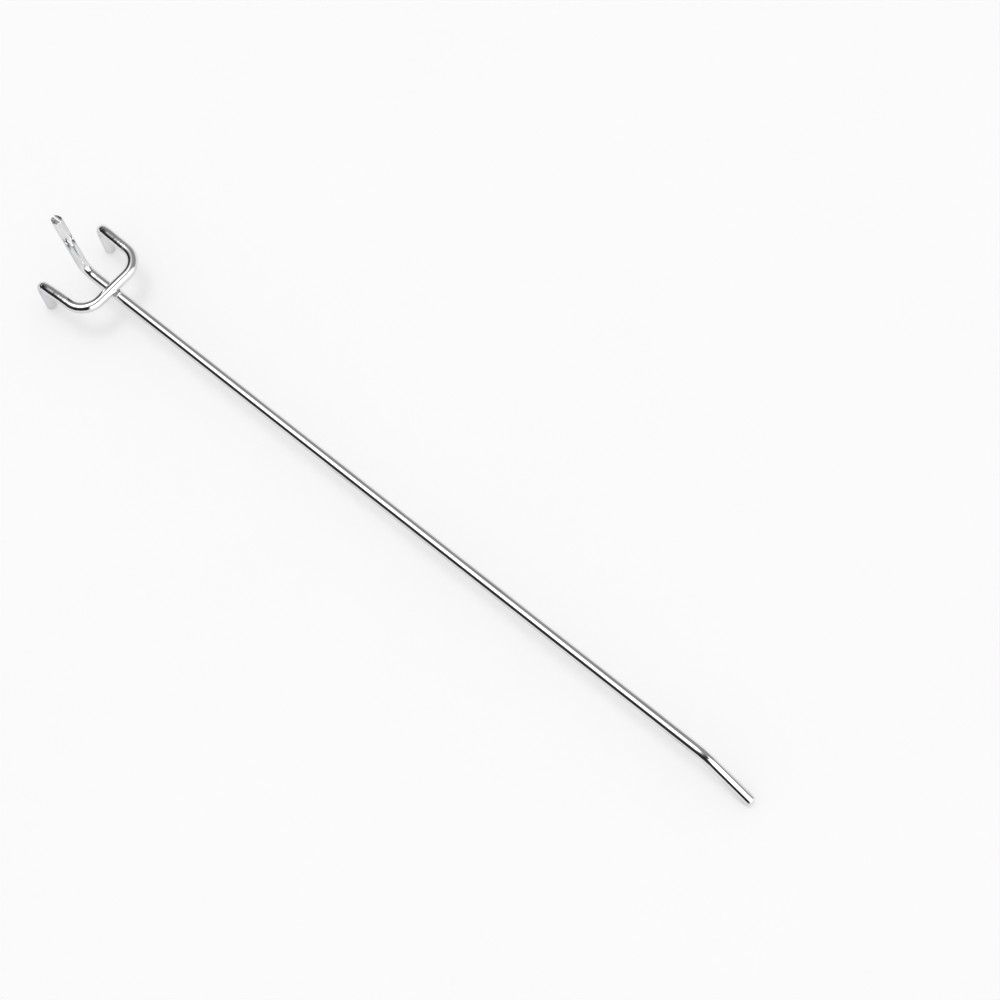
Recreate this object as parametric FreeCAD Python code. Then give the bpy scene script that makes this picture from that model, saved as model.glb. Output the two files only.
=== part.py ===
import FreeCAD, Part
import math
import os

# Pegboard hook of bright plated steel wire: a long prong wire and a U-shaped back wire,
# set across each other and joined by one cross-wire weld.
# Millimetres. It lies as it is laid on a table, turned over from the way it hangs:
# +Z up from the table, the prong along Y with its tip towards -Y, the arms at +Y.
# It rests on the two peg ends and the prong's tip. Origin: bottom centre of its box.

wire_d = 3.2                  # both wires are drawn to one size
peg_pitch = 25.0              # centre to centre of the two pegs, the pitch of the board's holes
arm_reach = 18.3              # crossbar centreline to the corner of the peg's bend, along the prong
arm_splay = 2.4               # degrees each arm opens outwards from the crossbar
arm_droop = 3.5               # degrees the arms fall from the prong's line towards the pegs
peg_length = 11.7             # arm centreline to the peg's free end, square to the arm
corner_bend = 6.5             # centreline radius where the crossbar turns into an arm
peg_bend = 2.4                # centreline radius where an arm turns into its peg
prong_reach = 221.0           # crossbar centreline to the corner of the tip's bend
tip_length = 17.8             # corner of the tip's bend to the free end
tip_angle = 26.0              # degrees the tip turns away from the prong's line
tip_bend = 12.0               # centreline radius of the tip's bend
tail_setback = 12.4           # crossbar centreline to the corner of the tail's bend
tail_length = 25.0            # corner of the tail's bend to the cut end
tail_lean = 9.0               # degrees the tail leans back past square to the prong
tail_bend = 5.0               # centreline radius of the tail's bend
weld_set = 0.4                # how far the two wires are pressed into each other at the weld
flash_side = 0.45             # weld flash seen past the sides of the prong
flash_front = 0.9             # weld flash seen past the front and back of the crossbar
flash_rise = 0.4              # height of the flash above the prong where it leaves the crossbar
end_round = 0.4               # rounded edge of the peg ends and of the prong's tip
shear_round = 0.15            # slight edge of the tail's sheared end

wire_r = wire_d / 2
axis_gap = wire_d - weld_set  # between the two centrelines at the crossing


def unit(direction):
    """Copy of a vector, one millimetre long."""
    return FreeCAD.Vector(direction) * (1 / direction.Length)


def formed_wire(corners, radii):
    """Round wire bent over a row of corners: straight runs are cylinders, bends are parts of a ring."""
    runs = []
    start = corners[0]
    for here, after, radius in zip(corners[1:-1], corners[2:], radii):
        come = unit(here - start)
        leave = unit(after - here)
        turn = come.getAngle(leave)
        set_back = radius * math.tan(turn / 2)
        bend_start = here - come * set_back
        axis = unit(come.cross(leave))
        centre = bend_start + axis.cross(come) * radius
        runs.append(Part.makeCylinder(wire_r, (bend_start - start).Length, start, come))
        section = Part.Face(Part.Wire(Part.makeCircle(wire_r, bend_start, come)))
        runs.append(section.revolve(centre, axis, math.degrees(turn)))
        start = here + leave * set_back
    last = corners[-1] - start
    runs.append(Part.makeCylinder(wire_r, last.Length, start, last))
    return runs[0].multiFuse(runs[1:]).removeSplitter()


def round_end(wire, end, radius):
    """Round the rim of one free end."""
    rims = []
    for edge in wire.Edges:
        if isinstance(edge.Curve, Part.Circle) and edge.Curve.Center.distanceToPoint(end) < 1e-4:
            rims.append(edge)
    return wire.makeFillet(radius, rims)


def lowest_point(end, direction, radius):
    """Height of the lowest point of a rounded wire end that faces along a direction."""
    inner = end - direction * radius
    return inner.z - (wire_r - radius) * math.sqrt(1 - direction.z ** 2) - radius


# Back wire: peg, arm, crossbar, arm, peg, with the crossbar's centreline on the X axis.
half_pitch = peg_pitch / 2
half_bar = half_pitch - arm_reach * math.tan(math.radians(arm_splay))
arm_fall = arm_reach * math.tan(math.radians(arm_droop))
peg_way = FreeCAD.Vector(0, -math.sin(math.radians(arm_droop)), -math.cos(math.radians(arm_droop)))
right_bar = FreeCAD.Vector(half_bar, 0, 0)
right_arm = FreeCAD.Vector(half_pitch, arm_reach, -arm_fall)
right_peg = right_arm + peg_way * peg_length
left_bar = FreeCAD.Vector(-right_bar.x, right_bar.y, right_bar.z)
left_arm = FreeCAD.Vector(-right_arm.x, right_arm.y, right_arm.z)
left_peg = FreeCAD.Vector(-right_peg.x, right_peg.y, right_peg.z)
back_wire = formed_wire(
    [right_peg, right_arm, right_bar, left_bar, left_arm, left_peg],
    [peg_bend, corner_bend, corner_bend, peg_bend],
)
back_wire = round_end(back_wire, right_peg, end_round)
back_wire = round_end(back_wire, left_peg, end_round)

# Prong wire: tail, run under the crossbar, prong and turned tip, all in the YZ plane.
lean = math.radians(tail_lean)
kick = math.radians(tip_angle)
tail_corner = FreeCAD.Vector(0, tail_setback, -axis_gap)
tail_end = tail_corner + FreeCAD.Vector(0, math.sin(lean), math.cos(lean)) * tail_length
tip_corner = FreeCAD.Vector(0, -prong_reach, -axis_gap)
tip_way = FreeCAD.Vector(0, -math.cos(kick), -math.sin(kick))
tip_end = tip_corner + tip_way * tip_length
prong_wire = formed_wire([tail_end, tail_corner, tip_corner, tip_end], [tail_bend, tip_bend])
prong_wire = round_end(prong_wire, tail_end, shear_round)
prong_wire = round_end(prong_wire, tip_end, end_round)

# Weld: metal pressed out between the wires stands as a low flash on the prong around the crossing.
# The crossbar sits in the seat that it has pressed into the prong and its flash.
flash = Part.makeSphere(1.0)
spread = FreeCAD.Matrix()
spread.scale(wire_r + flash_side, wire_r + flash_front, wire_r - axis_gap / 2 + flash_rise)
flash = flash.transformGeometry(spread)
flash.translate(FreeCAD.Vector(0, 0, -axis_gap / 2))
prong_wire = prong_wire.fuse(flash).cut(back_wire).removeSplitter()

# Lay the hook down: tip it about X until the peg ends and the prong's tip stand at one height.
steep = -45.0
flat = 45.0
for _ in range(60):
    pitch = (steep + flat) / 2
    turn = FreeCAD.Rotation(FreeCAD.Vector(1, 0, 0), pitch)
    peg_low = lowest_point(turn.multVec(right_peg), turn.multVec(peg_way), end_round)
    tip_low = lowest_point(turn.multVec(tip_end), turn.multVec(tip_way), end_round)
    if tip_low > peg_low:
        steep = pitch
    else:
        flat = pitch
for wire in (back_wire, prong_wire):
    wire.rotate(FreeCAD.Vector(0, 0, 0), FreeCAD.Vector(1, 0, 0), pitch)
box = back_wire.optimalBoundingBox(False)
box.add(prong_wire.optimalBoundingBox(False))
for wire in (back_wire, prong_wire):
    wire.translate(FreeCAD.Vector(-box.Center.x, -box.Center.y, -box.ZMin))

os.makedirs("parts", exist_ok=True)
back_wire.exportStep("parts/back_wire.step")
prong_wire.exportStep("parts/prong_wire.step")
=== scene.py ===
"""Pegboard hook of bright plated steel wire, laid upside down on a pale studio floor.

The hook is two lengths of round wire: a back wire bent into a U with two pegs, and a prong wire
with a turned tip and a square-turned tail. One cross-wire weld joins them under the crossbar.
Each wire is modelled as it is made: fed out straight, turned over formers, then cut to length.
"""

import logging
import math
from dataclasses import dataclass
from enum import Enum
from typing import Any, Optional

import bmesh
import bpy
from mathutils import Matrix, Quaternion, Vector, noise


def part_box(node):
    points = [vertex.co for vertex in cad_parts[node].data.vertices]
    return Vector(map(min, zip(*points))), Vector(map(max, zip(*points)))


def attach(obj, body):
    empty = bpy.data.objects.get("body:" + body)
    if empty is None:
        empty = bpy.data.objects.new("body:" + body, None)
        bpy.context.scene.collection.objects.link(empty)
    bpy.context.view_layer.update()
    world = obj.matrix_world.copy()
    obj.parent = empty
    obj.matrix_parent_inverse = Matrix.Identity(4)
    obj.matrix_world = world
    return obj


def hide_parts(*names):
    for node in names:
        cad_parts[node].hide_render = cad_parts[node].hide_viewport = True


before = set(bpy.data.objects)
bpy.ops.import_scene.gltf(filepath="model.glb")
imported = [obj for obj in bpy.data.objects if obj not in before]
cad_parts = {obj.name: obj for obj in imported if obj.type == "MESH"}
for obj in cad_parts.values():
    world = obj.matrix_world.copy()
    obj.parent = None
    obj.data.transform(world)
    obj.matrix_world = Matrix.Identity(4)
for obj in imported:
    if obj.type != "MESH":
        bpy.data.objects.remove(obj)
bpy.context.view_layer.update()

MM = 0.001                      # metres in a millimetre
BODY = "root"                   # nothing on the hook moves

LOG = logging.getLogger("pegboard_hook")

Socket = bpy.types.NodeSocket
Tree = bpy.types.NodeTree


def linear(code: str) -> tuple[float, float, float, float]:
    """Turn an sRGB hex colour into linear RGBA.

    Args:
        code: Six hex digits, with or without a leading hash.

    Returns:
        Red, green, blue and an alpha of one, in linear light.
    """
    digits = code.lstrip("#")
    channels = []
    for start in (0, 2, 4):
        value = int(digits[start:start + 2], 16) / 255
        channels.append(value / 12.92 if value <= 0.04045 else ((value + 0.055) / 1.055) ** 2.4)
    return (channels[0], channels[1], channels[2], 1.0)


def add_node(
    tree: Tree,
    kind: str,
    settings: Optional[dict[str, Any]] = None,
    inputs: Optional[dict[Any, Any]] = None,
) -> bpy.types.Node:
    """Add one node, set its properties and fill or link its inputs.

    Args:
        tree: Node tree that takes the node.
        kind: Blender's name for the node type.
        settings: Node properties and their values.
        inputs: Input names or numbers, each with a plain value or a socket to link from.

    Returns:
        The new node.
    """
    node = tree.nodes.new(kind)
    for name, value in (settings or {}).items():
        setattr(node, name, value)
    for name, value in (inputs or {}).items():
        if isinstance(value, Socket):
            tree.links.new(value, node.inputs[name])
        else:
            node.inputs[name].default_value = value
    return node


def cell_scale(cell: tuple[float, ...]) -> tuple[float, float, float]:
    """Mapping scale that makes one pattern cell as long as given on each axis.

    Args:
        cell: Cell lengths along x, y and z, in the unit of the coordinates.

    Returns:
        One over each length.
    """
    return (1 / cell[0], 1 / cell[1], 1 / cell[2])


def heading(azimuth: float, elevation: float = 0.0) -> tuple[float, float, float]:
    """Unit direction in the room.

    Args:
        azimuth: Degrees from +X towards +Y.
        elevation: Degrees over the table.

    Returns:
        The direction.
    """
    turn, rise = math.radians(azimuth), math.radians(elevation)
    return (math.cos(turn) * math.cos(rise), math.sin(turn) * math.cos(rise), math.sin(rise))


class WireEnd(Enum):
    """How the free end of a wire was made."""

    TUMBLED = "rim rounded all the way round"
    SHEARED = "cropped across, with a rolled edge and a torn face"


@dataclass(frozen=True)
class BrightPlating:
    """Bright chrome plating over cold-drawn steel wire.

    The plating is thin and mirror-like, so it keeps what the drawing die and the bending formers
    left: faint lines along the wire, a slow waviness, and a pebbled skin where a bend stretched it
    or a clamp held it.
    """

    clear: str = "E7E7E8"           # plating that is quite clean
    clouded: str = "D8D9DB"         # plating with a breath of haze
    edge: str = "DADADC"            # chromium mirrors less close to grazing
    speck: str = "8E9093"           # pinholes, seen as grey dots
    roughness: float = 0.045
    haze: float = 0.035             # roughness that the clouded patches add
    cloud_mm: float = 5.0           # width of a clouded patch
    cloud_run_mm: float = 15.0      # and its length along the wire
    cloud_ends: tuple[float, float] = (0.42, 0.68)  # field values where clouding begins and is full
    line_mm: float = 0.32           # spacing of the die lines; the real ones are a tenth of that
    line_run_mm: float = 45.0       # how far one die line can be followed
    line_depth_mm: float = 0.0016
    line_haze: float = 0.02         # roughness that the die lines add
    wave_mm: float = 7.0            # slow waviness round the wire
    wave_run_mm: float = 16.0       # and along it
    wave_depth_mm: float = 0.028
    pebble_mm: float = 0.9          # pebbled skin of a bend, stretched outside and crumpled inside
    pebble_depth_mm: float = 0.075
    worked_ends: tuple[float, float] = (0.08, 0.40)  # strains where that skin begins and is full
    worked_haze: float = 0.03       # roughness that it adds
    speck_mm: float = 0.8           # spacing of the pinholes
    speck_ends: tuple[float, float] = (0.05, 0.12)  # radii of a pinhole's core and rim, in spacings
    speck_share: float = 0.55       # how much of the speck's colour the core takes

    def make(self) -> bpy.types.Material:
        """Build the material on the wire's own straight coordinates.

        Returns:
            The plated wire material.
        """
        material = bpy.data.materials.new("bright_chrome_plated_drawn_steel")
        material.use_nodes = True
        tree = material.node_tree
        shader = tree.nodes["Principled BSDF"]
        drawn = add_node(tree, "ShaderNodeAttribute", {"attribute_name": "drawn"}).outputs["Vector"]
        strain = add_node(tree, "ShaderNodeAttribute", {"attribute_name": "strain"}).outputs["Fac"]
        cloud = self.field(tree, drawn, (self.cloud_mm, self.cloud_mm, self.cloud_run_mm), detail=4.0)
        lines = self.field(tree, drawn, (self.line_mm, self.line_mm, self.line_run_mm), detail=2.0)
        waves = self.field(tree, drawn, (self.wave_mm, self.wave_mm, self.wave_run_mm), detail=1.0)
        pebble = self.field(tree, drawn, (self.pebble_mm,) * 3, detail=2.0)
        speck_place = add_node(
            tree, "ShaderNodeMapping", None, {"Vector": drawn, "Scale": cell_scale((self.speck_mm,) * 3)},
        ).outputs[0]
        specks = add_node(
            tree, "ShaderNodeTexVoronoi", {"feature": "F1"}, {"Vector": speck_place, "Scale": 1.0},
        ).outputs["Distance"]
        worked = add_node(tree, "ShaderNodeMath", {"operation": "ABSOLUTE"}, {0: strain}).outputs[0]
        stretched, hazy, pinhole = (
            add_node(
                tree, "ShaderNodeMapRange", None,
                {"Value": value, "From Min": low, "From Max": high, "To Min": first, "To Max": last},
            ).outputs["Result"]
            for value, (low, high), first, last in (
                (worked, self.worked_ends, 0.0, 1.0),
                (cloud, self.cloud_ends, 0.0, 1.0),
                (specks, self.speck_ends, self.speck_share, 0.0),
            )
        )
        skin = add_node(
            tree, "ShaderNodeMix", {"data_type": "RGBA"},
            {0: hazy, 6: linear(self.clear), 7: linear(self.clouded)},
        ).outputs[2]
        dotted = add_node(
            tree, "ShaderNodeMix", {"data_type": "RGBA"},
            {0: pinhole, 6: skin, 7: linear(self.speck)},
        ).outputs[2]
        tree.links.new(dotted, shader.inputs["Base Color"])
        shader.inputs["Metallic"].default_value = 1.0
        shader.inputs["Specular Tint"].default_value = linear(self.edge)
        dull = add_node(
            tree, "ShaderNodeMath", {"operation": "MULTIPLY_ADD"},
            {0: hazy, 1: self.haze, 2: self.roughness},
        ).outputs[0]
        duller = add_node(
            tree, "ShaderNodeMath", {"operation": "MULTIPLY_ADD"},
            {0: stretched, 1: self.worked_haze, 2: dull},
        ).outputs[0]
        streaked = add_node(
            tree, "ShaderNodeMath", {"operation": "MULTIPLY_ADD", "use_clamp": True},
            {0: lines, 1: self.line_haze, 2: duller},
        ).outputs[0]
        tree.links.new(streaked, shader.inputs["Roughness"])
        skin_depth = add_node(
            tree, "ShaderNodeMath", {"operation": "MULTIPLY"}, {0: pebble, 1: stretched},
        ).outputs[0]
        bump: Optional[Socket] = None
        for height, depth_mm in (
            (waves, self.wave_depth_mm), (lines, self.line_depth_mm), (skin_depth, self.pebble_depth_mm),
        ):
            inputs = {"Height": height, "Strength": 1.0, "Distance": depth_mm * MM}
            if bump is not None:
                inputs["Normal"] = bump
            bump = add_node(tree, "ShaderNodeBump", None, inputs).outputs[0]
        tree.links.new(bump, shader.inputs["Normal"])
        return material

    def field(self, tree: Tree, vector: Socket, cell: tuple[float, ...], detail: float) -> Socket:
        """Soft random field with cells of a real size.

        Args:
            tree: Node tree that takes the nodes.
            vector: Position socket, in millimetres.
            cell: Cell length in millimetres on each axis.
            detail: Octaves of finer detail.

        Returns:
            Socket with the field, about 0 to 1.
        """
        place = add_node(
            tree, "ShaderNodeMapping", None, {"Vector": vector, "Scale": cell_scale(cell)},
        ).outputs[0]
        return add_node(
            tree, "ShaderNodeTexNoise", None, {"Vector": place, "Scale": 1.0, "Detail": detail},
        ).outputs[0]


@dataclass(frozen=True)
class PlatedTornSteel:
    """Bare-cropped or squeezed steel that was plated with the rest.

    The plating follows a torn, lumpy ground. Its sparkle is painted into the colour: small white facets
    are painted glints and the grey hollows between them are painted shade.
    """

    name: str
    bright: str                     # painted glint: facets coloured as if they catch the light
    painted_shade: str                       # painted shade: the hollows between them coloured dark
    roughness: float
    rough_range: float = 0.16       # spread of the roughness over the grain
    grain_mm: float = 0.35
    grain_ends: tuple[float, float] = (0.40, 0.62)  # field values of the darkest and brightest ground, the deepest painted shade and the fullest painted glint
    depth_mm: float = 0.03

    def make(self) -> bpy.types.Material:
        """Build the material on object coordinates.

        Returns:
            The torn-metal material.
        """
        material = bpy.data.materials.new(self.name)
        material.use_nodes = True
        tree = material.node_tree
        shader = tree.nodes["Principled BSDF"]
        place = add_node(tree, "ShaderNodeTexCoord").outputs["Object"]
        cell = (self.grain_mm * MM,) * 3
        grain_place = add_node(
            tree, "ShaderNodeMapping", None, {"Vector": place, "Scale": cell_scale(cell)},
        ).outputs[0]
        grain = add_node(
            tree, "ShaderNodeTexNoise", None, {"Vector": grain_place, "Scale": 1.0, "Detail": 3.0},
        ).outputs[0]
        low, high = self.grain_ends
        # painted glint and painted shade: the grain picks which facets are coloured light and which
        # hollows are coloured dark
        painted_glint_share = add_node(
            tree, "ShaderNodeMapRange", None,
            {"Value": grain, "From Min": low, "From Max": high, "To Min": 0.0, "To Max": 1.0},
        ).outputs["Result"]
        colour = add_node(
            tree, "ShaderNodeMix", {"data_type": "RGBA"},
            {0: painted_glint_share, 6: linear(self.painted_shade), 7: linear(self.bright)},
        ).outputs[2]
        tree.links.new(colour, shader.inputs["Base Color"])
        shader.inputs["Metallic"].default_value = 1.0
        rough = add_node(
            tree, "ShaderNodeMath", {"operation": "MULTIPLY_ADD", "use_clamp": True},
            {0: grain, 1: self.rough_range, 2: self.roughness - self.rough_range / 2},
        ).outputs[0]
        tree.links.new(rough, shader.inputs["Roughness"])
        bump = add_node(
            tree, "ShaderNodeBump", None,
            {"Height": grain, "Strength": 1.0, "Distance": self.depth_mm * MM},
        ).outputs[0]
        tree.links.new(bump, shader.inputs["Normal"])
        return material


@dataclass(frozen=True)
class OpalAcrylic:
    """Opal white acrylic table top, satin and faintly lit from below, so that wide shades fill up."""

    colour: str = "F3F3F3"
    shade: str = "F1F1F1"
    lit: float = 0.15               # radiance that comes through from below
    cloud_mm: float = 60.0          # slow unevenness of the sheet
    roughness: float = 0.9
    gloss: float = 0.1              # specular level, far below that of polished acrylic

    def make(self) -> bpy.types.Material:
        """Build the table top's material.

        Returns:
            The lit acrylic material.
        """
        material = bpy.data.materials.new("opal_white_acrylic")
        material.use_nodes = True
        tree = material.node_tree
        shader = tree.nodes["Principled BSDF"]
        place = add_node(tree, "ShaderNodeTexCoord").outputs["Object"]
        cloud = add_node(
            tree, "ShaderNodeTexNoise", None,
            {"Vector": place, "Scale": 1 / (self.cloud_mm * MM), "Detail": 2.0},
        ).outputs[0]
        colour = add_node(
            tree, "ShaderNodeMix", {"data_type": "RGBA"},
            {0: cloud, 6: linear(self.colour), 7: linear(self.shade)},
        ).outputs[2]
        tree.links.new(colour, shader.inputs["Base Color"])
        shader.inputs["Roughness"].default_value = self.roughness
        shader.inputs["Specular IOR Level"].default_value = self.gloss
        shader.inputs["Emission Color"].default_value = (1.0, 1.0, 1.0, 1.0)
        shader.inputs["Emission Strength"].default_value = self.lit
        return material


@dataclass(frozen=True)
class Former:
    """One bend of a wire over a round former, with a wider curve into it and out of it if it springs."""

    radius: float                   # centreline radius over the former, in millimetres
    rings: int                      # rings of the mesh round the turn
    ease: float = 0.0               # degrees of turn on the way in, and again on the way out
    ease_radius: float = 1.0        # centreline radius there, in millimetres
    ease_rings: int = 5             # rings of the mesh there
    grip: float = 0.0               # strain that a clamp left all round the wire

    def arcs(self, angle: float) -> list[tuple[float, float, int]]:
        """Split the bend into plain arcs.

        Args:
            angle: Whole angle of the bend, in radians.

        Returns:
            Angle, radius and rings of each arc, in order.
        """
        ease = math.radians(self.ease)
        wide = (ease, self.ease_radius, self.ease_rings)
        middle = (angle - 2 * ease, self.radius, self.rings)
        return [wide, middle, wide] if self.ease else [middle]

    def set_back(self, angle: float) -> float:
        """Length from the start of the bend to the corner that it cuts off.

        Args:
            angle: Whole angle of the bend, in radians.

        Returns:
            The length in millimetres.
        """
        before, rise = 0.0, 0.0
        for turned, radius, _ in self.arcs(angle):
            rise += radius * (math.cos(before) - math.cos(before + turned))
            before += turned
        return rise / math.sin(angle)


@dataclass(frozen=True)
class Crop:
    """Form of a cropped end: a little off square, rolled over where the blade came in, cut, then torn.

    Places across the end are shares of the wire's radius, from the torn side at -1 to the blade's at 1.
    """

    roll_from: float = 0.45         # place where the rolled edge begins
    roll_depth: float = 0.5         # millimetres, as are the other depths
    roll_power: float = 1.5         # how sharply it curves over
    lip_from: float = 0.6           # place where the lip's finish begins
    torn_to: float = 0.0            # place where the torn finish ends
    tear_from: float = 0.2          # place where the tear begins to sink
    tear_fade: float = 0.3          # share over which it sinks
    tear_depth: float = 0.06
    tear_rough: float = 0.14        # depth of the torn lumps
    grain: float = 1.9              # lumps per millimetre
    grain_fall: float = 0.9         # how the finer lumps fall off
    grain_step: float = 2.1         # how much finer each next size is
    grain_sizes: int = 4
    off_square: float = 0.12        # slope of the cut
    sink: float = 0.06              # keeps the end inside the solid one


@dataclass
class Cut:
    """One open end of a wire, with the axes of the straight wire there."""

    ring: list[bmesh.types.BMVert]
    centre: Vector
    outward: Vector
    side: Vector
    top: Vector
    fed: float                      # length of wire fed out up to here, in millimetres
    sign: float                     # 1 where outward is the way of feed, -1 where it is not


class FormedWire:
    """Round wire fed out ring by ring: straight runs are extruded and bends are spun.

    Every vertex keeps where it lay in the straight wire, in millimetres, in the "drawn" attribute,
    and how far a bend or a clamp worked it in the "strain" attribute, so a finish can follow the wire.
    """

    guard = 0.75                    # millimetres from a run's end to the ring that keeps it straight
    rim_steps = 6                   # faces across a rounded rim
    cap_rings = 12                  # rings of faces on a flat end
    rim_margin = 1.05               # slack, along the wire, when the vertices of an end are picked
    cap_margin = 1.1                # and across it

    def __init__(self, radius: float, facets: int, start: Vector, way: Vector) -> None:
        """Begin a wire with one open ring.

        Args:
            radius: Wire radius in millimetres.
            facets: Number of sides of the ring.
            start: Centre of the first ring.
            way: Direction of feed.
        """
        self.radius = radius
        self.place = start.copy()
        self.way = way.normalized()
        self.side = self.way.orthogonal().normalized()
        self.fed = 0.0
        self.mesh = bmesh.new()
        self.drawn = self.mesh.verts.layers.float_vector.new("drawn")
        self.strain = self.mesh.verts.layers.float.new("strain")
        turn = Matrix((self.side, self.way.cross(self.side), self.way)).transposed()
        made = bmesh.ops.create_circle(
            self.mesh, cap_ends=False, radius=radius, segments=facets,
            matrix=Matrix.Translation(start) @ turn.to_4x4(),
        )
        self.ring: list[bmesh.types.BMVert] = made["verts"]
        self.mark()
        self.first = self.cut(-1.0)

    def cut(self, sign: float) -> Cut:
        """Take the newest ring as a free end.

        Args:
            sign: 1 for an end that faces the way of feed, -1 for one that faces back.

        Returns:
            The open end.
        """
        top = self.way.cross(self.side)
        outward = self.way * sign
        return Cut(list(self.ring), self.place.copy(), outward, self.side.copy(), top, self.fed, sign)

    def edges(self, ring: list[bmesh.types.BMVert]) -> list[bmesh.types.BMEdge]:
        """Edges that join the vertices of one ring.

        Args:
            ring: Vertices of the ring.

        Returns:
            The ring's edges.
        """
        members = set(ring)
        found = {edge for vert in ring for edge in vert.link_edges if edge.other_vert(vert) in members}
        return sorted(found, key=lambda edge: edge.index)

    def mark(self, inward: Optional[Vector] = None, bend: float = 0.0, grip: float = 0.0) -> None:
        """Note where the newest ring lay in the straight wire, and its strain.

        Args:
            inward: Direction to the bend's centre, on a bend.
            bend: Centreline radius of the bend, in millimetres.
            grip: Strain that a clamp left all round.
        """
        top = self.way.cross(self.side)
        for vert in self.ring:
            arm = vert.co - self.place
            vert[self.drawn] = Vector((arm.dot(self.side), arm.dot(top), self.fed))
            vert[self.strain] = grip - arm.dot(inward) / bend if inward else 0.0

    def run(self, length: float) -> None:
        """Feed a straight run, with a guard ring near each end.

        Args:
            length: Length of the run in millimetres.
        """
        guard = min(self.guard, length / 3)
        for step in (guard, length - 2 * guard, guard):
            made = bmesh.ops.extrude_edge_only(self.mesh, edges=self.edges(self.ring))["geom"]
            self.ring = [item for item in made if isinstance(item, bmesh.types.BMVert)]
            bmesh.ops.translate(self.mesh, verts=self.ring, vec=self.way * step)
            self.place += self.way * step
            self.fed += step
            self.mark()

    def turn(self, axis: Vector, angle: float, radius: float, steps: int, grip: float) -> None:
        """Turn the wire round one arc.

        Args:
            axis: Axis of the turn.
            angle: Angle of the turn, in radians.
            radius: Centreline radius of the arc, in millimetres.
            steps: Number of rings round the arc.
            grip: Strain that a clamp left all round.
        """
        centre = self.place + axis.cross(self.way) * radius
        step = angle / steps
        spin = Quaternion(axis, step)
        for _ in range(steps):
            made = bmesh.ops.spin(
                self.mesh, geom=[*self.ring, *self.edges(self.ring)], cent=centre, axis=axis,
                dvec=(0.0, 0.0, 0.0), angle=step, steps=1, use_merge=False, use_duplicate=False,
            )["geom_last"]
            self.ring = [item for item in made if isinstance(item, bmesh.types.BMVert)]
            self.way.rotate(spin)
            self.side.rotate(spin)
            self.place = centre + spin @ (self.place - centre)
            self.fed += radius * step
            self.mark((centre - self.place).normalized(), radius, grip)

    def follow(self, corners: list[Vector], formers: list[Former]) -> None:
        """Feed and turn the wire along a row of corners, starting at the first one.

        Args:
            corners: Corners of the centreline, in millimetres.
            formers: The former at each inner corner.
        """
        for here, after, former in zip(corners[1:-1], corners[2:], formers):
            leave = (after - here).normalized()
            angle = self.way.angle(leave)
            self.run((here - self.way * former.set_back(angle) - self.place).length)
            axis = self.way.cross(leave).normalized()
            for turned, radius, rings in former.arcs(angle):
                self.turn(axis, turned, radius, rings, former.grip)
        self.run((corners[-1] - self.place).length)
        self.last = self.cut(1.0)

    def close(self, end: Cut, form: WireEnd, size: float, crop: Crop = Crop()) -> None:
        """Close one free end in the way it was cut.

        Args:
            end: The open end.
            form: How the end was made.
            size: Radius of its rim.
            crop: Form of a sheared end.
        """
        rim = self.edges(end.ring)
        bmesh.ops.contextual_create(self.mesh, geom=rim)
        bmesh.ops.bevel(
            self.mesh, geom=rim, offset=size, offset_type="OFFSET", segments=self.rim_steps, profile=0.5,
            affect="EDGES", material=-1, clamp_overlap=True,
        )
        cap = min(self.mesh.faces, key=lambda face: (face.calc_center_median() - end.centre).length)
        inset = (self.radius - size) / self.cap_rings
        plain = {cap}
        for _ in range(self.cap_rings - 1):
            plain.update(bmesh.ops.inset_region(
                self.mesh, faces=[cap], thickness=inset, depth=0.0, use_even_offset=True,
            )["faces"])
        plain.update(bmesh.ops.poke(self.mesh, faces=[cap])["faces"])
        skin = [
            vert for vert in self.mesh.verts
            if abs((vert.co - end.centre).dot(end.outward)) < self.rim_margin * size
            and (vert.co - end.centre).length < self.cap_margin * self.radius
        ]
        for vert in skin:
            arm = vert.co - end.centre
            vert[self.drawn] = Vector((
                arm.dot(end.side), arm.dot(end.top), end.fed + end.sign * arm.dot(end.outward),
            ))
            vert[self.strain] = 0.0
        if form is WireEnd.SHEARED:
            self.tear(end, skin, [face for face in plain if face.is_valid], crop)

    def tear(
        self, end: Cut, skin: list[bmesh.types.BMVert], plain: list[bmesh.types.BMFace], crop: Crop,
    ) -> None:
        """Shape a cropped end.

        The wire's second finish is the torn part and its third the rolled lip.

        Args:
            end: The end that was cropped.
            skin: Vertices of its face and rim.
            plain: Faces of its flat part.
            crop: Form of the end.
        """
        entry = Vector((1.0, 0.0, 0.0))
        front = end.outward.cross(entry)
        for face in plain:
            across = (face.calc_center_median() - end.centre).dot(entry) / self.radius
            if across < crop.torn_to:
                face.material_index = 1
            elif across > crop.lip_from:
                face.material_index = 2
        for vert in skin:
            arm = (vert.co - end.centre) / self.radius
            across = arm.dot(entry)
            rolled = max(0.0, (across - crop.roll_from) / (1.0 - crop.roll_from))
            torn = max(0.0, min(1.0, (crop.tear_from - across) / crop.tear_fade))
            lumps = noise.fractal(vert.co * crop.grain, crop.grain_fall, crop.grain_step, crop.grain_sizes)
            slope = crop.off_square * self.radius * (1.0 - arm.dot(front))
            roll = crop.roll_depth * rolled ** crop.roll_power
            tear = torn * (crop.tear_depth + crop.tear_rough * abs(lumps))
            vert.co -= end.outward * (crop.sink + slope + roll + tear)


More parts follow.
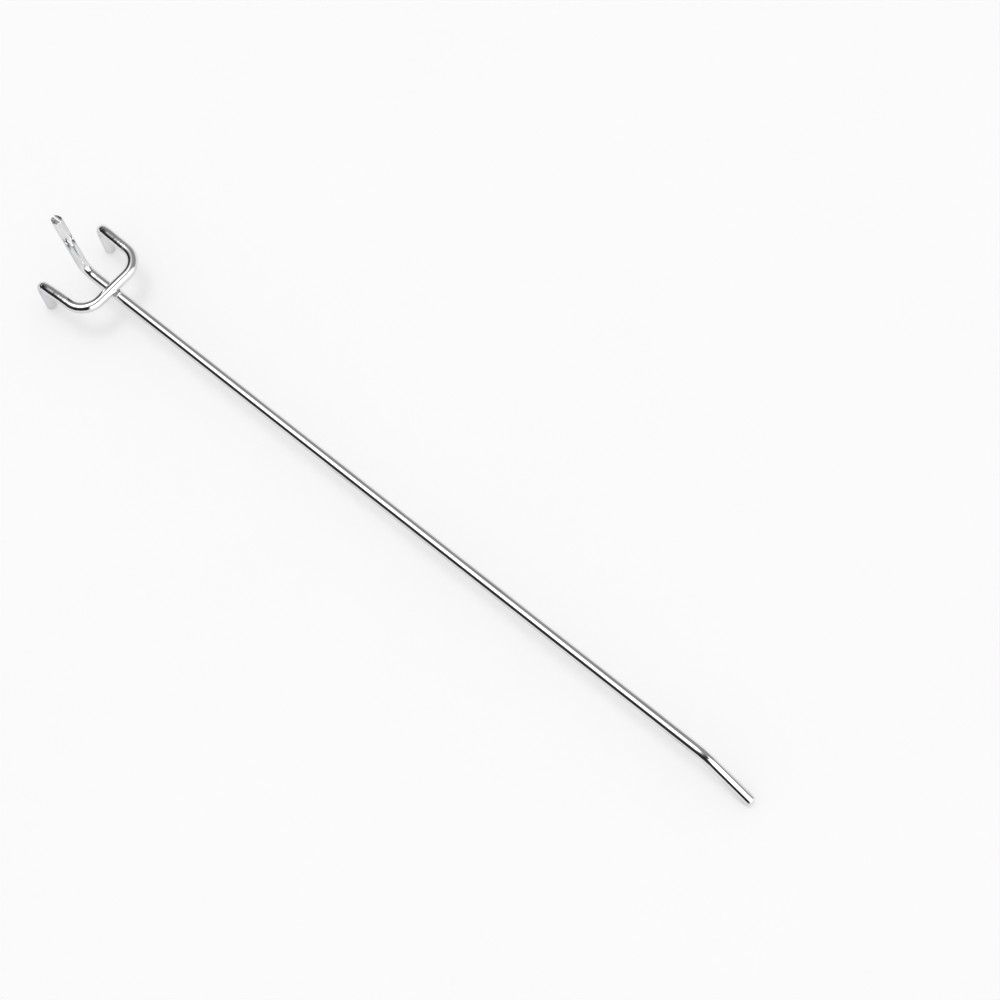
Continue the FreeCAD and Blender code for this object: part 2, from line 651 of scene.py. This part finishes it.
def as_piece(
    mesh: bmesh.types.BMesh, name: str, lay: Matrix, finishes: list[bpy.types.Material],
) -> bpy.types.Object:
    """Lay a finished mesh down in the hook's frame and make it an object at the origin.

    Args:
        mesh: Mesh in bench millimetres; it is used up.
        name: Name of the piece.
        lay: Matrix from bench millimetres to the hook's frame in metres.
        finishes: Materials, in the order of the mesh's material numbers.

    Returns:
        The new object.
    """
    bmesh.ops.transform(mesh, matrix=lay, verts=mesh.verts)
    bmesh.ops.recalc_face_normals(mesh, faces=mesh.faces)
    for face in mesh.faces:
        face.smooth = True
    data = bpy.data.meshes.new(name)
    mesh.to_mesh(data)
    mesh.free()
    piece = bpy.data.objects.new(name, data)
    for finish in finishes:
        data.materials.append(finish)
    bpy.context.scene.collection.objects.link(piece)
    return piece


@dataclass
class WireWork:
    """What the hook's wires share: the stock they are bent from and how the hook lies."""

    wire_d: float = 3.2             # millimetres, as are all sizes below
    weld_set: float = 0.4           # how far the wires are pressed into each other
    end_round: float = 0.4          # rounded rim of the pegs and the tip
    skin_gap: float = 0.001         # how far the dressed wire lies inside the solid one
    facets: int = 64
    lay_pitch: float = 0.216947     # degrees about X that set pegs and tip on the floor
    bar_height: float = 12.8002     # crossbar centreline over the floor, as the hook lies

    @property
    def wire_r(self) -> float:
        """Radius of the wire."""
        return self.wire_d / 2

    @property
    def skin_r(self) -> float:
        """Radius of the dressed wire, a hair inside the solid one."""
        return self.wire_r - self.skin_gap

    @property
    def axis_gap(self) -> float:
        """Distance between the two centrelines where they cross."""
        return self.wire_d - self.weld_set

    def lay(self) -> Matrix:
        """Matrix from the bench, with the crossbar on the X axis, to the hook's frame.

        Returns:
            Scale to metres, pitch and place. The crossbar is the foremost part of the back wire's box.
        """
        low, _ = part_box("back_wire")
        bar = Vector((0.0, low[1] + self.wire_r * MM, self.bar_height * MM))
        pitch = Matrix.Rotation(math.radians(self.lay_pitch), 4, "X")
        return Matrix.Translation(bar) @ pitch @ Matrix.Scale(MM, 4)


@dataclass
class BackWire(WireWork):
    """U-shaped wire: peg, arm, crossbar, arm and peg."""

    peg_pitch: float = 25.0         # pitch of the board's holes
    arm_reach: float = 18.3         # crossbar to the corners of the pegs' bends, along the prong
    arm_splay: float = 2.4          # degrees each arm opens outwards
    arm_droop: float = 3.5          # degrees the arms fall towards the pegs
    arm_bow: float = 0.26           # how far the arm's middle stands over a straight line
    arm_bow_at: float = 0.5         # share of the arm from the crossbar to there
    bow_bend: float = 80.0
    bow_grip: float = 0.34          # strain left where the arm was clamped
    bow_rings: int = 8
    peg_length: float = 11.7        # square to the arm
    corner_bend: float = 6.5
    corner_rings: int = 24
    peg_bend: float = 1.95          # over the former
    peg_rings: int = 18
    peg_ease: float = 13.0          # degrees that each side of the tight bend springs into its straight
    peg_ease_bend: float = 11.0

    def corners(self) -> list[Vector]:
        """Corners of the centreline on the bench, from the right peg to the left one.

        Returns:
            Eight points in millimetres.
        """
        half = self.peg_pitch / 2
        bar = half - self.arm_reach * math.tan(math.radians(self.arm_splay))
        droop = math.radians(self.arm_droop)
        elbow = Vector((half, self.arm_reach, -self.arm_reach * math.tan(droop)))
        peg = Vector((0.0, -math.sin(droop), -math.cos(droop))) * self.peg_length
        corner = Vector((bar, 0.0, 0.0))
        middle = corner.lerp(elbow, self.arm_bow_at) + Vector((0.0, 0.0, self.arm_bow))
        right = [elbow + peg, elbow, middle, corner]
        return right + [Vector((-point.x, point.y, point.z)) for point in reversed(right)]

    def build(self, plating: bpy.types.Material) -> bpy.types.Object:
        """Form the wire, round its pegs and dress it.

        Args:
            plating: Finish of the wire.

        Returns:
            The finished piece.
        """
        corners = self.corners()
        wire = FormedWire(self.skin_r, self.facets, corners[0], corners[1] - corners[0])
        peg = Former(self.peg_bend, self.peg_rings, self.peg_ease, self.peg_ease_bend)
        bow = Former(self.bow_bend, self.bow_rings, grip=self.bow_grip)
        corner = Former(self.corner_bend, self.corner_rings)
        wire.follow(corners, [peg, bow, corner, corner, bow, peg])
        wire.close(wire.first, WireEnd.TUMBLED, self.end_round)
        wire.close(wire.last, WireEnd.TUMBLED, self.end_round)
        piece = as_piece(wire.mesh, "back_wire_formed", self.lay(), [plating])
        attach(piece, BODY)
        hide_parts("back_wire")
        return piece


@dataclass
class ProngWire(WireWork):
    """Long wire: sheared tail, run under the crossbar, prong and turned tip."""

    prong_reach: float = 221.0
    tip_length: float = 17.8
    tip_angle: float = 26.0
    tip_bend: float = 12.0
    tip_rings: int = 20
    tail_setback: float = 12.4
    tail_length: float = 25.0
    tail_lean: float = 9.0
    tail_bend: float = 5.0
    tail_rings: int = 24
    shear_round: float = 0.15       # rim of the tail's sheared end
    crop: Crop = Crop()             # form of that end

    def corners(self) -> list[Vector]:
        """Corners of the centreline on the bench, from the tail's end to the tip.

        Returns:
            Four points in millimetres.
        """
        lean = math.radians(self.tail_lean)
        kick = math.radians(self.tip_angle)
        tail = Vector((0.0, self.tail_setback, -self.axis_gap))
        tip = Vector((0.0, -self.prong_reach, -self.axis_gap))
        return [
            tail + Vector((0.0, math.sin(lean), math.cos(lean))) * self.tail_length,
            tail,
            tip,
            tip + Vector((0.0, -math.cos(kick), -math.sin(kick))) * self.tip_length,
        ]

    def build(self, finishes: list[bpy.types.Material]) -> bpy.types.Object:
        """Form the wire, crop its tail, round its tip and dress it.

        Args:
            finishes: Finish of the wire, of the cropped end's torn part and of its rolled lip.

        Returns:
            The finished piece.
        """
        corners = self.corners()
        wire = FormedWire(self.skin_r, self.facets, corners[0], corners[1] - corners[0])
        tail = Former(self.tail_bend, self.tail_rings)
        wire.follow(corners, [tail, Former(self.tip_bend, self.tip_rings)])
        wire.close(wire.first, WireEnd.SHEARED, self.shear_round, self.crop)
        wire.close(wire.last, WireEnd.TUMBLED, self.end_round)
        piece = as_piece(wire.mesh, "prong_wire_formed", self.lay(), finishes)
        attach(piece, BODY)
        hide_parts("prong_wire")
        return piece


@dataclass
class WeldFlash(WireWork):
    """Metal squeezed out between the crossed wires, frozen as a low lumpy collar."""

    flash_side: float = 0.45        # seen past the sides of the prong
    flash_front: float = 0.9        # seen past the front and back of the crossbar
    flash_rise: float = 0.4         # height over the prong beside the crossbar
    lump: float = 0.34              # share of the collar that the lumps take off
    lump_mean: float = 0.5          # share of that which is off where the noise is nil
    lump_gain: float = 0.6
    lump_scale: float = 1.9         # lumps along a radius
    lump_fall: float = 1.0          # how the finer lumps fall off
    lump_step: float = 2.0          # how much finer each next size is
    lump_sizes: int = 3
    lump_place: tuple[float, float, float] = (3.1, 0.7, 5.2)    # place in the noise
    splits: int = 5                 # subdivisions of the round blank

    def build(self, squeezed: bpy.types.Material) -> bpy.types.Object:
        """Shape the collar and dress it.

        Args:
            squeezed: Finish of the squeezed metal.

        Returns:
            The finished piece.
        """
        mesh = bmesh.new()
        reach = Vector((
            self.wire_r + self.flash_side,
            self.wire_r + self.flash_front,
            self.wire_r - self.axis_gap / 2 + self.flash_rise,
        ))
        bmesh.ops.create_icosphere(mesh, subdivisions=self.splits, radius=1.0)
        for vert in mesh.verts:
            place = vert.co * self.lump_scale + Vector(self.lump_place)
            lump = noise.fractal(place, self.lump_fall, self.lump_step, self.lump_sizes)
            vert.co *= 1.0 - self.lump * max(0.0, min(1.0, self.lump_mean + self.lump_gain * lump))
        bmesh.ops.scale(mesh, vec=reach, verts=mesh.verts)
        bmesh.ops.translate(mesh, vec=Vector((0.0, 0.0, -self.axis_gap / 2)), verts=mesh.verts)
        piece = as_piece(mesh, "weld_flash", self.lay(), [squeezed])
        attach(piece, BODY)
        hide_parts("prong_wire")
        return piece


@dataclass
class Studio:
    """Pale table top under a soft key light, in a dim room with one bright and one half-lit side.

    The key hangs behind the hook, a little to its left, and fades out softly towards its edge. A bright
    panel stands in front of the hook's tip, and the wall on the hook's right is half lit: the wires
    mirror all of that. The satin table is lit evenly, as in a white tent, and only the middle of the key
    casts a narrow shade on it. That even light is as bright as the table seen in a wire, so the mirror
    wires take hardly any of it away.
    """

    floor_half: float = 4.0             # metres
    key_azimuth: float = 107.0          # degrees from +X towards +Y
    key_elevation: float = 74.0
    key_spread: float = 16.6            # degrees from its middle to where it has fallen to a third
    key: float = 6.3                    # radiance of its middle
    panel_azimuth: float = -84.0
    panel_ends: tuple[float, float] = (0.65, 0.865)     # cosines of azimuth where it begins and is full
    panel_top: float = 59.0             # degrees of elevation where the panel ends
    panel_edge: float = 3.0             # degrees to each side of that over which it fades
    panel: float = 2.13
    side_azimuth: float = 8.0
    side_ends: tuple[float, float] = (0.05, 0.85)       # as for the panel
    side: float = 0.30
    walls: float = 0.022
    wash: float = 4.7                   # light on the table from straight over the hook
    wash_spread: float = 10.6           # degrees
    wash_azimuth: float = 90.0
    wash_elevation: float = 82.0
    fill: float = 0.76                  # even light on the table
    table_bounce: float = 0.5           # diffuse depth over which a ray has met the table
    backdrop: str = "FAFAFA"

    def lay_floor(self) -> bpy.types.Object:
        """Lay the table top under the hook.

        Returns:
            The floor.
        """
        mesh = bmesh.new()
        bmesh.ops.create_grid(mesh, x_segments=4, y_segments=4, size=self.floor_half)
        data = bpy.data.meshes.new("table_top")
        mesh.to_mesh(data)
        mesh.free()
        data.materials.append(OpalAcrylic().make())
        floor = bpy.data.objects.new("table_top", data)
        bpy.context.scene.collection.objects.link(floor)
        return floor

    def glow(self, tree: Tree, near: Socket, spread: float) -> Socket:
        """Soft round glow that fades with the angle from its middle.

        Args:
            tree: The world's node tree.
            near: Cosine of that angle.
            spread: Angle in degrees at which it has fallen to about a third.

        Returns:
            Socket with the glow, 1 in the middle.
        """
        sharp = 2 / math.radians(spread) ** 2
        fall = add_node(
            tree, "ShaderNodeMath", {"operation": "MULTIPLY_ADD"}, {0: near, 1: sharp, 2: -sharp},
        ).outputs[0]
        return add_node(tree, "ShaderNodeMath", {"operation": "EXPONENT"}, {0: fall}).outputs[0]

    def light_room(self) -> bpy.types.World:
        """Light the room by direction: soft key overhead, bright panel, half-lit side and dim walls.

        Returns:
            The world.
        """
        world = bpy.data.worlds.new("studio_room")
        world.use_nodes = True
        tree = world.node_tree
        background = tree.nodes["Background"]
        way = add_node(tree, "ShaderNodeTexCoord").outputs["Generated"]
        height = add_node(tree, "ShaderNodeSeparateXYZ", None, {0: way}).outputs["Z"]
        flat = add_node(
            tree, "ShaderNodeVectorMath", {"operation": "MULTIPLY"}, {0: way, 1: (1.0, 1.0, 0.0)},
        ).outputs[0]
        level = add_node(tree, "ShaderNodeVectorMath", {"operation": "NORMALIZE"}, {0: flat}).outputs[0]
        to_key, to_wash, to_side, to_panel = (
            add_node(
                tree, "ShaderNodeVectorMath", {"operation": "DOT_PRODUCT"}, {0: ray, 1: fixed},
            ).outputs["Value"]
            for ray, fixed in (
                (way, heading(self.key_azimuth, self.key_elevation)),
                (way, heading(self.wash_azimuth, self.wash_elevation)),
                (level, heading(self.side_azimuth)),
                (level, heading(self.panel_azimuth)),
            )
        )
        fading = [
            math.sin(math.radians(self.panel_top + self.panel_edge)),
            math.sin(math.radians(self.panel_top - self.panel_edge)),
        ]
        side, wide, low = (
            add_node(
                tree, "ShaderNodeMapRange", {"interpolation_type": "SMOOTHSTEP"},
                {"Value": value, "From Min": ends[0], "From Max": ends[1], "To Min": 0.0, "To Max": 1.0},
            ).outputs["Result"]
            for value, ends in ((to_side, self.side_ends), (to_panel, self.panel_ends), (height, fading))
        )
        glow = self.glow(tree, to_key, self.key_spread)
        panel = add_node(tree, "ShaderNodeMath", {"operation": "MULTIPLY"}, {0: wide, 1: low}).outputs[0]
        room: Any = self.walls
        for share, radiance in ((side, self.side), (panel, self.panel), (glow, self.key)):
            room = add_node(
                tree, "ShaderNodeMath", {"operation": "MULTIPLY_ADD"}, {0: share, 1: radiance, 2: room},
            ).outputs[0]
        soft = add_node(
            tree, "ShaderNodeMath", {"operation": "MULTIPLY_ADD"},
            {0: self.glow(tree, to_wash, self.wash_spread), 1: self.wash, 2: self.fill},
        ).outputs[0]
        path = add_node(tree, "ShaderNodeLightPath")
        direct = add_node(
            tree, "ShaderNodeMath", {"operation": "LESS_THAN"},
            {0: path.outputs["Diffuse Depth"], 1: self.table_bounce},
        ).outputs[0]
        mirrored = add_node(
            tree, "ShaderNodeMath", {"operation": "MULTIPLY"},
            {0: path.outputs["Is Glossy Ray"], 1: direct},
        ).outputs[0]
        lit = add_node(
            tree, "ShaderNodeMix", {"data_type": "FLOAT"}, {0: mirrored, 2: soft, 3: room},
        ).outputs[0]
        shade = add_node(
            tree, "ShaderNodeMix", {"data_type": "RGBA"},
            {0: path.outputs["Is Camera Ray"], 6: lit, 7: linear(self.backdrop)},
        ).outputs[2]
        tree.links.new(shade, background.inputs["Color"])
        background.inputs["Strength"].default_value = 1.0
        bpy.context.scene.world = world
        return world


@dataclass
class PhotoCamera:
    """Camera at the photograph's viewing angle, for a square picture."""

    place: tuple[float, float, float] = (-0.132064, -0.186698, 0.521778)
    aim: tuple[float, float, float] = (0.024443, -0.019601, 0.0)
    roll: float = -6.909                # degrees about the line of sight
    lens: float = 72.0                  # millimetres
    sensor: float = 36.0                # millimetres across the square picture
    near_clip: float = 0.01             # metres

    def set_up(self) -> bpy.types.Object:
        """Set the camera up and make it the scene's own.

        Returns:
            The camera.
        """
        data = bpy.data.cameras.new("photo_camera")
        data.sensor_width = self.sensor
        data.lens = self.lens
        data.clip_start = self.near_clip
        camera = bpy.data.objects.new("photo_camera", data)
        camera.location = self.place
        look = (Vector(self.aim) - Vector(self.place)).to_track_quat("-Z", "Y")
        camera.rotation_mode = "QUATERNION"
        camera.rotation_quaternion = look @ Quaternion((0.0, 0.0, 1.0), math.radians(self.roll))
        bpy.context.scene.collection.objects.link(camera)
        bpy.context.scene.camera = camera
        return camera


def main() -> None:
    """Build the hook piece by piece, then the studio and the camera."""
    logging.basicConfig(level=logging.INFO, format="%(name)s: %(message)s")
    plating = BrightPlating().make()
    # The torn end, its rolled lip and the weld metal take painted glints and painted shade: the bright
    # tone colours facets as if they catch the light, and the dark tone colours the hollows as shade. The
    # rolled lip is coloured darker than the torn face.
    torn = PlatedTornSteel(
        "plated_sheared_steel", bright="A0A1A3", painted_shade="5E6063", roughness=0.28,
    ).make()
    lip = PlatedTornSteel(
        "plated_shear_lip", bright="8C8D8F", painted_shade="5A5C5F", roughness=0.14, depth_mm=0.01,
    ).make()
    squeezed = PlatedTornSteel(
        "plated_weld_metal", bright="A9ABAE", painted_shade="5E6063", roughness=0.24, grain_mm=0.6,
    ).make()
    pieces = [
        BackWire().build(plating),
        ProngWire().build([plating, torn, lip]),
        WeldFlash().build(squeezed),
    ]
    for piece in pieces:
        LOG.info("%s: %d faces", piece.name, len(piece.data.polygons))
    studio = Studio()
    studio.lay_floor()
    studio.light_room()
    bpy.context.scene.view_settings.view_transform = "Standard"
    PhotoCamera().set_up()


if __name__ == "__main__":
    main()
